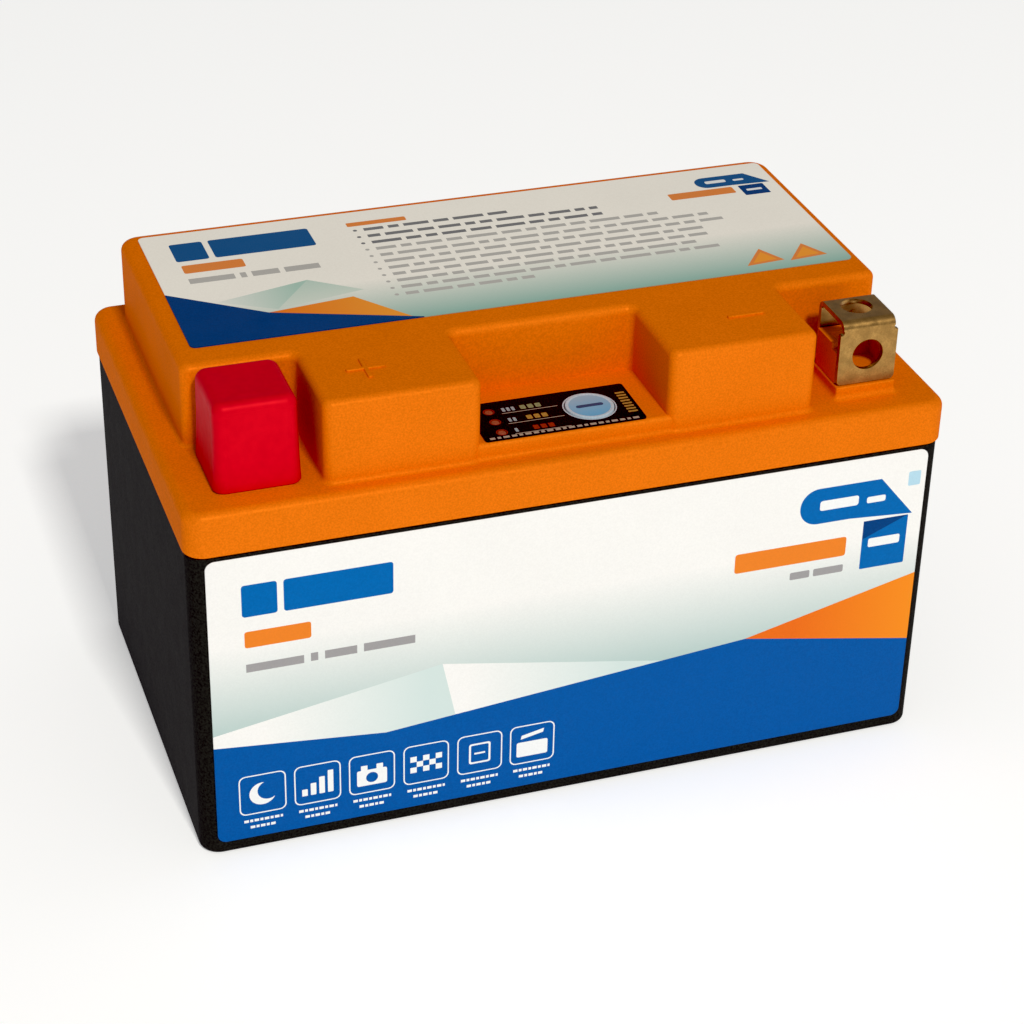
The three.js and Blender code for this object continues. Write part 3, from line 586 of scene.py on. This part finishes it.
def lid_hollows():
    """What is cut from the lid: its rooms, the button's well and hole, lamp holes and slots for the legs."""
    x, y = middle_mm("test_button")
    past = 81
    tools = [
        upright(outline(rectangle(-70.7, 70.7, -39.2, 39.2, 1.5)), 62, SHOULDER - SKIN),
        upright(outline(deck_corners(SKIN)), 73, DECK - SKIN),
        block(-21.55, 21.55, -37.3, -15.7, 73, SHELF - SKIN),
        upright(circle(x, y, 5.2, 64), 78.2, past),
        upright(circle(x, y, 1.8), 76, past),
    ]
    tools += [upright(circle(*middle_mm(f"light_guide_{lamp}"), 0.95), 76, past) for lamp in LAMPS]
    tools += [block(side * POST - 5.8, side * POST + 5.8, -25.9, -24.1, 71, 79) for side in (-1, 1)]
    return tools


def make_lid():
    posts = [pedestal(-POST), pedestal(POST)]
    lid = combine(lid_skirt(), "UNION", [lid_deck(), lid_shelf(), lid_tongue(), *polarity_marks(), *posts])
    combine(lid, "DIFFERENCE", lid_hollows())
    finished(lid, "lid_cover", "lid")


# ---- Terminals and cap ------------------------------------------------------------------------

STRAP = 1.0
STRAP_HALF = 6
STRAP_BACK = -24.5


def strap_profile(low, high):
    """The bent strap from the side: a front flange, a top, a back leg and a foot that runs back."""
    front, top, back = low.y, high.z, STRAP_BACK
    end, foot = 78.8, 69.5
    cut, inner, outer = 0.1, 0.7, 1.7
    return outline([
        (front, end, cut), (front + STRAP, end, cut), (front + STRAP, top - STRAP, inner),
        (back - STRAP, top - STRAP, inner), (back - STRAP, foot, outer), (high.y, foot, cut),
        (high.y, foot + STRAP, cut), (back, foot + STRAP, inner), (back, top, outer), (front, top, outer)])


def flange_corner():
    """What is cut from the flange's lower corner to round it, from the strap's middle to the right."""
    x, z, r = STRAP_HALF - 1, 78.8, 1
    arc = [(x + r * math.sin(t), z + r - r * math.cos(t)) for t in quarter(6)]
    return [(x, z)] + arc[1:] + [(x + 1.5, z + r), (x + 1.5, z - 0.5), (x, z - 0.5)]


def strap_side_cuts(x, side, low, high):
    """Narrows the top and the leg on one side, with a relief hole at the bend, and rounds the flange."""
    front, top = low.y, high.z
    inner, outer = sorted((x + side * (STRAP_HALF - 0.6), x + side * (STRAP_HALF + 2)))
    corner = [(x + side * a, z) for a, z in flange_corner()]
    return [
        block(inner, outer, front - 1, STRAP_BACK + 1, top - 1.75, top + 1),
        along_y(circle(x + side * (STRAP_HALF - 0.15), top - 1.95, 0.6), front - 1, front + 2),
        block(inner, outer, STRAP_BACK - STRAP - 1.7, high.y + 1, 68, top + 1),
        along_y(corner if side < 0 else corner[::-1], front - 1, front + 2),
    ]


def make_terminal(pole, x):
    low, high = box_mm(f"terminal_{pole}")
    front, top = low.y, high.z
    strap = along_x(strap_profile(low, high), x - STRAP_HALF, x + STRAP_HALF)
    tools = strap_side_cuts(x, -1, low, high) + strap_side_cuts(x, 1, low, high)
    tools.append(along_y(circle(x, 84.9, 3.2, 48), front - 1, front + 2))
    tools.append(upright(circle(x, -29.4, 3.1, 48), top - 2, top + 1))
    tools.append(upright(circle(x, -10.5, 2.2), 69, 71))
    combine(strap, "DIFFERENCE", tools)
    soften(strap, 0.16)
    finished(strap, f"bracket_{pole}", f"terminal_{pole}")


def with_sides(points, steps, count):
    """Adds count points along each straight side of an outline whose corners have steps + 1 points."""
    made = []
    for i, point in enumerate(points):
        made.append(point)
        if i % (steps + 1) == steps:
            after = points[(i + 1) % len(points)]
            made += [tuple(a + (b - a) * k / (count + 1) for a, b in zip(point, after))
                     for k in range(1, count + 1)]
    return made


CAP_EXTRA = 0.9
CAP_CORNER, CAP_EDGE = 2.4, 2.0
CAP_FOOT, CAP_WALL = 0.3, 0.8
CAP_TAPER, CAP_DISH, CAP_CROWN_DISH = 0.05, 0.35, 0.12


def cap_box():
    """The cap's box. It stands a little further right than the CAD's plain cap."""
    low, high = box_mm("positive_terminal_cap")
    return low, high + Vector((CAP_EXTRA, 0, 0))


def cap_ring(inset, z, depth):
    """A ring of the cap's skin, narrower the higher it lies. Its sides sink by depth at half height."""
    low, high = cap_box()
    x, y = (low.x + high.x) / 2, (low.y + high.y) / 2
    half_x, half_y = (high.x - low.x) / 2, (high.y - low.y) / 2
    share = (z - low.z) / (high.z - low.z)
    sink = depth * math.sin(math.pi * share)
    narrow = 1 - CAP_TAPER * share
    corners = shrunk(rectangle(low.x, high.x, low.y, high.y, CAP_CORNER), inset)
    points = []
    for px, py in with_sides(outline(corners, 8), 8, 9):
        dx, dy = (px - x) / half_x, (py - y) / half_y
        side_x = sink * max(0, 1 - dy * dy) * (abs(dx) > 0.8)
        side_y = sink * max(0, 1 - dx * dx) * (abs(dy) > 0.8)
        px -= math.copysign(side_x, dx)
        py -= math.copysign(side_y, dy)
        points.append((x + (px - x) * narrow, y + (py - y) * narrow, z))
    return points


def cap_crown(ring):
    """Rings from the top's edge towards its middle, which lies a little lower."""
    low, high = cap_box()
    x, y = (low.x + high.x) / 2, (low.y + high.y) / 2
    rings = []
    for share in (0.9, 0.75, 0.5, 0.2):
        z = high.z - CAP_CROWN_DISH * (1 - share ** 2)
        rings.append([(x + (px - x) * share, y + (py - y) * share, z) for px, py, _ in ring])
    return rings


def make_cap():
    """A soft moulded cover, open underneath, whose sides and top sink in a little."""
    low, high = cap_box()
    rise = high.z - low.z - CAP_EDGE - CAP_FOOT
    outside = [cap_ring(CAP_WALL, low.z, 0), cap_ring(CAP_FOOT, low.z, 0)]
    outside += [cap_ring(0, low.z + CAP_FOOT + rise * k / 10, CAP_DISH) for k in range(10)]
    outside += [cap_ring(inset, z, CAP_DISH) for inset, z in rim_up(high.z, CAP_EDGE, 10)]
    outside += cap_crown(outside[-1])
    inside = [cap_ring(CAP_WALL, low.z + 0.4, 0), cap_ring(CAP_WALL, high.z - 2.4, 0),
              cap_ring(CAP_WALL + 1.4, high.z - 1, 0)]
    shell = solid([ring[::-1] for ring in outside[::-1] + inside])
    finished(shell, "terminal_cover", "positive_terminal_cap", "positive_terminal_cap", smooth=60)


# ---- Printed films ----------------------------------------------------------------------------


def divided(loops):
    """Divides the plane along the loops into points, tiles and, for each tile, the loops around it."""
    flat, faces = [], []
    for loop in loops:
        area = sum(a[0] * b[1] - b[0] * a[1] for a, b in zip(loop, loop[1:] + loop[:1]))
        faces.append(list(range(len(flat), len(flat) + len(loop))))
        flat += [Vector(point) for point in (loop if area > 0 else loop[::-1])]
    inside_only, gap = 1, 1e-5
    points, _, tiles, _, _, around = delaunay_2d_cdt(flat, [], faces, inside_only, gap)
    return points, tiles, around


def printed_sheet(edge, shapes, inks, place, thickness):
    """A thin sheet whose face is divided into printed areas.

    Inks are films by name, the sheet's own first. Shapes are (points, ink name), and later ones print over
    earlier ones. Ink None cuts a hole. place turns (u, v, depth) into a point."""
    order = list(inks)
    slots = [0] + [None if ink is None else order.index(ink) for _, ink in shapes]
    points, tiles, around = divided([edge] + [loop for loop, _ in shapes])
    bm = bmesh.new()
    verts = [bm.verts.new(place(p.x, p.y, 0)) for p in points]
    for tile, loops in zip(tiles, around):
        slot = slots[max(loops)] if 0 in loops else None
        if slot is not None:
            bm.faces.new([verts[i] for i in tile]).material_index = slot
    bmesh.ops.delete(bm, geom=[v for v in bm.verts if not v.link_faces], context="VERTS")
    back = bmesh.ops.extrude_face_region(bm, geom=bm.faces[:], use_keep_orig=True)["geom"]
    shift = Vector(place(0, 0, thickness)) - Vector(place(0, 0, 0))
    bmesh.ops.translate(bm, verts=[g for g in back if isinstance(g, bmesh.types.BMVert)], vec=shift)
    for face in back:
        if isinstance(face, bmesh.types.BMFace):
            face.material_index = 0
    bmesh.ops.recalc_face_normals(bm, faces=bm.faces)
    return add_object("sheet", mesh_from(bm, "sheet"))


def bar(x0, x1, y0, y1, r=0.3):
    return outline(rectangle(x0, x1, y0, y1, r), 4)


def inked(ink, *loops):
    return [(points, ink) for points in loops]


def words(ink, x0, x1, y0, y1, lengths, gap, slope=0.0):
    """A row of short bars, as wide as the repeated lengths say, in place of words."""
    made, x, i = [], x0, 0
    while x < x1 - lengths[i % len(lengths)] * 0.4:
        end = min(x + lengths[i % len(lengths)], x1)
        lift = slope * (x - x0)
        made.append((square_cut(x, end, y0 + lift, y1 + lift), ink))
        x = end + gap
        i += 1
    return made


# ---- Front label ------------------------------------------------------------------------------

ICON_HALF = 4.6
ICON_LEVEL = 12.9
ICON_PLACES = (-62.7, -51.9, -41.1, -30.2, -19.3, -8.5)


def crescent(x, y):
    return [(circle(x, y, 2.6), "white"), (circle(x + 1.1, y + 0.6, 2.1), "blue")]


def rising_bars(x, y):
    shapes = []
    for i in range(4):
        left = x - 3.1 + 1.7 * i
        shapes += inked("white", bar(left, left + 1.1, y - 2.6, y - 1 + 1.2 * i, 0.15))
    return shapes


def small_battery(x, y):
    posts = [bar(x - 2.2, x - 0.9, y + 0.9, y + 2, 0.1), bar(x + 0.9, x + 2.2, y + 0.9, y + 2, 0.1)]
    return inked("white", bar(x - 3, x + 3, y - 2.8, y + 0.9, 0.4), *posts) + \
        inked("blue", circle(x, y - 1, 1.2, 20))


def checks(x, y):
    side, left, bottom = 1.28, x - 3.2, y - 1.9
    places = [(left + side * i, bottom + side * j) for i in range(5) for j in range(3) if (i + j) % 2 == 0]
    return inked("white", *(square_cut(a, a + side, b, b + side) for a, b in places))


def framed_dash(x, y):
    return (inked("white", bar(x - 2.2, x + 2.2, y - 2.4, y + 2.4, 0.5))
            + inked("blue", bar(x - 1.8, x + 1.8, y - 2, y + 2, 0.3))
            + inked("white", square_cut(x - 1.1, x + 1.1, y - 0.2, y + 0.2)))


def open_box(x, y):
    flap = [(x - 2.4, y + 1.3), (x + 2.2, y + 2.3), (x + 2.4, y + 3.2), (x - 2.2, y + 2.2)]
    return inked("white", bar(x - 3.2, x + 3.2, y - 2.9, y + 0.6, 0.4), flap)


def icon(x, sign):
    """An outlined square with a plain sign in it and two rows of words under it."""
    y, half, line = ICON_LEVEL, ICON_HALF, 0.25
    shapes = inked("white", bar(x - half, x + half, y - half, y + half, 1.3))
    shapes += inked("blue", bar(x - half + line, x + half - line, y - half + line, y + half - line, 1.1))
    shapes += sign(x, y)
    for k, width in enumerate((7.6, 5.2)):
        v = y - half - 1.5 - 1.5 * k
        shapes += words("white", x - width / 2, x + width / 2, v - 0.3, v + 0.3, (0.9, 0.6), 0.25)
    return shapes


def front_inks():
    white, teal, mist = (0.89, 0.88, 0.85), (0.42, 0.56, 0.53), (0.62, 0.73, 0.7)
    return {
        "paper": graded_film("front_paper", white, teal, "Z", 47.5, 26),
        "white": film("ink_white", (0.88, 0.89, 0.88)),
        "blue": film("ink_blue", (0.0, 0.09, 0.35), fine=0.08),
        "wedge": graded_film("front_orange", (0.8, 0.15, 0.008), (0.88, 0.26, 0.012), "X", 46, 72),
        "grey": film("ink_grey", (0.34, 0.33, 0.33)),
        "navy": film("ink_dark_blue", (0.0, 0.05, 0.2), fine=0.08),
        "left fold": graded_film("front_left_fold", white, mist, "X", -62, -30),
        "right fold": graded_film("front_right_fold", white, mist, "X", -22, 10),
        "orange": film("ink_flat_orange", (0.82, 0.22, 0.02)),
        "pale blue": film("ink_pale_blue", (0.45, 0.68, 0.8)),
        "bright blue": film("ink_bright_blue", (0.0, 0.13, 0.42), fine=0.06),
    }


def front_ground():
    return [
        ([(-73, 27.7), (-27, 35.5), (-24.3, 22.9), (-38.2, 21.7), (-73, 25.2)], "left fold"),
        ([(-27, 35.5), (19, 27.0), (-24.3, 22.9)], "right fold"),
        ([(-73, 25.3), (-38.2, 21.9), (35.6, 28.8), (73, 21.6), (73, 0), (-73, 0)], "blue"),
        ([(35.6, 28.8), (73, 38.1), (73, 21.6)], "wedge"),
    ]


def front_names():
    """Plain bars in place of a mark and two lines of text."""
    return (inked("bright blue", bar(-65.3, -58.6, 53.4, 60.3, 0.6), bar(-57.4, -36.6, 53.4, 60.3, 0.6))
            + inked("orange", bar(-65, -52.4, 46.6, 50.2, 0.5))
            + words("grey", -64.9, -28.2, 41.2, 43.0, (11, 1.4, 6.2, 10), 1.3, 0.012))


def front_badges():
    """Plain shapes in place of ratings and a model's name."""
    pointed = [(56, 53), (69.6, 52), (62.2, 61), (56, 61)]
    fold = [(59.2, 51.8), (68.8, 51.8), (59.2, 47.6)]
    rounded = outline(rectangle(45.2, 60, 53, 61, 3.9), 10)
    return (inked("bright blue", pointed, rounded)
            + inked("white", bar(49.4, 57.6, 55.9, 58.1, 0.5), bar(59.4, 63.4, 55.9, 57.3, 0.4))
            + inked("bright blue", bar(59.2, 68.8, 40.7, 51.8))
            + inked("navy", fold)
            + inked("white", bar(60.6, 67.4, 45.6, 47.6, 0.4))
            + inked("orange", bar(32.2, 55.8, 44.6, 49.0, 0.6))
            + inked("grey", bar(44.2, 48.4, 40.9, 42.6), bar(49.2, 55.6, 40.9, 42.6))
            + inked("pale blue", bar(68.0, 70.6, 58.4, 61.6)))


def make_front_label():
    low, high = box_mm("front_label")
    shapes = front_ground() + front_names() + front_badges()
    for x, sign in zip(ICON_PLACES, (crescent, rising_bars, small_battery, checks, framed_dash, open_box)):
        shapes += icon(x, sign)
    inks = front_inks()
    edge = outline(rectangle(low.x, high.x, low.z, high.z, 1.8), 8)
    sheet = printed_sheet(edge, shapes, inks, lambda u, v, d: (u, low.y + d, v), high.y - low.y)
    finished(sheet, "front_sticker", "front_label", materials=list(inks.values()), smooth=0)


# ---- Top label --------------------------------------------------------------------------------


def top_inks():
    return {
        "paper": graded_film("top_paper", (0.97, 0.92, 0.82), (0.27, 0.48, 0.4), "Y", 5.5, -13),
        "blue": film("top_blue", (0.0, 0.046, 0.19), fine=0.1),
        "wedge": graded_film("top_orange", (0.86, 0.2, 0.01), (0.9, 0.33, 0.03), "X", -48, -26),
        "left fold": graded_film("top_left_fold", (0.84, 0.84, 0.76), (0.42, 0.6, 0.5), "X", -57, -41),
        "right fold": graded_film("top_right_fold", (0.52, 0.66, 0.56), (0.68, 0.74, 0.64), "Y", 9, 0),
        "grey": film("top_ink_grey", (0.5, 0.48, 0.44)),
        "orange": film("top_ink_orange", (0.8, 0.25, 0.05)),
        "bright blue": film("top_bright_blue", (0.006, 0.09, 0.26)),
        "white": film("top_ink_white", (0.85, 0.85, 0.83)),
        "dark": film("top_ink_dark", (0.2, 0.2, 0.2)),
    }


def top_ground():
    return [
        ([(-57.2, 4.4), (-38.4, 8.9), (-46.8, -1.6)], "left fold"),
        ([(-38.4, 8.9), (-29.0, 1.9), (-46.8, -1.6)], "right fold"),
        ([(-48.8, -2.4), (-31.8, -0.4), (-22.1, -13), (-30, -14)], "wedge"),
        ([(-68, 11.6), (-48.8, -2.4), (-19.8, -12.7), (-18, -14), (-68, -14)], "blue"),
    ]


def top_names():
    """Plain bars in place of a mark and two lines of text."""
    return (inked("bright blue", bar(-60.8, -54.2, 23.4, 31.4, 0.6), bar(-53.0, -32.6, 23.4, 31.4, 0.6))
            + inked("orange", bar(-60.4, -48.2, 18, 21.6, 0.5))
            + words("grey", -60.3, -33.2, 13.4, 15.6, (9, 1.2, 5.4, 7), 1.1))


def top_notes():
    """A heading and eleven lines of notes, the first three bolder, as rows of bars."""
    line_ends = (10, 27, 27, 38, 48, 50, 46, 44, 41, 45, 7)
    levels = (27.0, 23.9, 20.9, 17.9, 14.9, 12.0, 9.0, 6.1, 3.2, 0.3, -2.6)
    patterns = ((4.1, 2.2, 5.3, 3.2, 6.4), (2.6, 5.8, 3.4, 4.6, 2.1), (6.1, 3.1, 2.4, 5.0, 4.4))
    shapes = inked("orange", bar(-24.6, -12.2, 29.6, 31.4))
    for i, (y, end) in enumerate(zip(levels, line_ends)):
        ink = "dark" if i < 3 else "grey"
        shapes += inked(ink, circle(-23.6, y + 0.6, 0.45, 10))
        shapes += words(ink, -21.8, end, y, y + 1.25, patterns[i % 3], 1.0)
    return shapes


def top_badges():
    """Plain shapes in place of ratings and a model's name."""
    rounded = outline(rectangle(50.6, 60, 26.9, 31.9, 2.4), 8)
    pointed = [(58, 26.9), (66.2, 26.5), (62.3, 31.9), (58, 31.9)]
    return (inked("bright blue", rounded, pointed)
            + inked("white", bar(52.8, 57.4, 28.8, 30.1, 0.4), bar(59.0, 61.4, 28.8, 29.6))
            + inked("blue", bar(58.8, 64.4, 21.4, 26.2, 0.2))
            + inked("white", bar(59.9, 63.3, 23.4, 24.3, 0.2))
            + inked("orange", bar(43.0, 57.4, 23.2, 26.2, 0.4)))


def top_triangles():
    shapes = []
    for x in (50.0, 59.2):
        shapes += inked("orange", [(x - 4.1, -9.6), (x + 4.1, -8.9), (x + 1.0, -3.0)])
        shapes += inked("wedge", [(x - 2.5, -8.7), (x + 2.8, -8.2), (x + 0.8, -4.4)])
    return shapes


def make_top_label():
    low, high = box_mm("top_label")
    shapes = top_ground() + top_names() + top_notes() + top_badges() + top_triangles()
    inks = top_inks()
    edge = outline(rectangle(low.x, high.x, low.y, high.y, 1.2), 6)
    sheet = printed_sheet(edge, shapes, inks, lambda u, v, d: (u, v, high.z - d), high.z - low.z)
    finished(sheet, "top_sticker", "top_label", materials=list(inks.values()), smooth=0)


# ---- Test panel -------------------------------------------------------------------------------


def overlay_inks():
    return {
        "black": FINISHES["overlay_film"],
        "grey": film("overlay_grey", (0.3, 0.36, 0.38), fine=0.2),
        "green": film("overlay_green", (0.24, 0.26, 0.13), fine=0.2),
        "gold": film("overlay_gold", (0.4, 0.22, 0.05), fine=0.2),
        "line": film("overlay_line", (0.42, 0.33, 0.25), fine=0.1),
        "ring": film("overlay_ring", (0.5, 0.55, 0.6), fine=0.1),
        "red": film("overlay_red", (0.3, 0.03, 0.01), fine=0.2),
    }


def lamp_row(x, y, ticks, ink):
    """A window, as many ticks as the lamp's rank, three blocks in place of a word, and a line under them."""
    shapes = inked("red", circle(x, y, 1.1)) + inked(None, circle(x, y, 0.9))
    for k in range(ticks):
        left = x + 2.6 + 0.95 * k
        shapes += inked("grey", bar(left, left + 0.6, y - 0.6, y + 0.8, 0.15))
    for k in range(3):
        left = x + 6.2 + 1.5 * k
        shapes += inked(ink, bar(left, left + 1.1, y - 0.6, y + 0.9, 0.2))
    return shapes + inked("line", square_cut(x + 2.2, x + 13.2, y - 1.35, y - 1.15))


def make_overlay():
    low, high = box_mm("indicator_overlay")
    x, y = middle_mm("test_button")
    shapes = []
    for rank, (lamp, ink) in enumerate(zip(LAMPS, ("red", "gold", "green"))):
        shapes += lamp_row(*middle_mm(f"light_guide_{lamp}"), rank + 1, ink)
    shapes += inked("ring", circle(x, y, 5.15, 48)) + inked(None, circle(x, y, 4.9, 48))
    for k in range(8):
        shapes += inked("gold", bar(11.7, 13.6, -28.2 - 1.05 * k, -27.6 - 1.05 * k, 0.1))
    shapes += words("line", -16.4, 13.4, -38.1, -37.4, (1.0, 0.7, 1.2), 0.45)
    inks = overlay_inks()
    edge = outline(rectangle(low.x, high.x, low.y, high.y, 0.6), 5)
    sheet = printed_sheet(edge, shapes, inks, lambda u, v, d: (u, v, high.z - d), high.z - low.z)
    finished(sheet, "indicator_film", "indicator_overlay", materials=list(inks.values()), smooth=0)


def make_button():
    """A dished key with a paler rim, on a stem."""
    low, high = box_mm("test_button")
    x, y = middle_mm("test_button")
    stem, top, rim_inside, under = 1.5, high.z, 4.05, 79
    profile = [(0, low.z), (stem, low.z), (stem, under), (4.6, under), (4.7, under + 0.1), (4.7, top - 0.25),
               (4.62, top - 0.07), (4.45, top), (4.2, top - 0.03), (4.0, top - 0.12), (2.5, top - 0.1),
               (0, top - 0.06)]
    button = turned(profile, x, y)
    for face in button.data.polygons:
        radius = math.hypot(face.center.x - x, face.center.y - y)
        face.material_index = int(radius > rim_inside and face.center.z > under + 0.2)
    rim = film("button_rim", (0.5, 0.62, 0.7), roughness=(0.25, 0.35), fine=0.1, broad=0.1, shine=0.3)
    finished(button, "test_key", "test_button", "test_button", [FINISHES["button_film"], rim])


def make_button_sign():
    """A plain dash, set into the key's face."""
    x, y = middle_mm("test_button")
    top = box_mm("test_button")[1].z
    half, depth = 2.7, 0.055
    inks = {"dark": film("button_sign", (0.03, 0.07, 0.16), roughness=(0.3, 0.4), fine=0.1, broad=0.1)}
    dash = bar(x - half, x + half, y - 0.5, y + 0.5, 0.5)
    plate = printed_sheet(dash, [], inks, lambda u, v, d: (u, v, top - depth - d), 0.1)
    finished(plate, "test_key_sign", "test_button", "test_button", list(inks.values()), smooth=0)


def make_light_guides():
    for lamp in LAMPS:
        low, high = box_mm(f"light_guide_{lamp}")
        profile = [(0, low.z), (0.8, low.z), (0.8, high.z - 0.12), (0.68, high.z - 0.02), (0.4, high.z),
                   (0, high.z)]
        guide = turned(profile, *middle_mm(f"light_guide_{lamp}"), 24)
        finished(guide, f"lamp_window_{lamp}", f"light_guide_{lamp}")


add_camera()
set_view()
add_key_light()
add_world()
add_floor()
paint_cad_nodes()
make_case()
make_lid()
make_terminal("positive", -POST)
make_terminal("negative", POST)
make_cap()
make_front_label()
make_top_label()
make_overlay()
make_button()
make_button_sign()
make_light_guides()
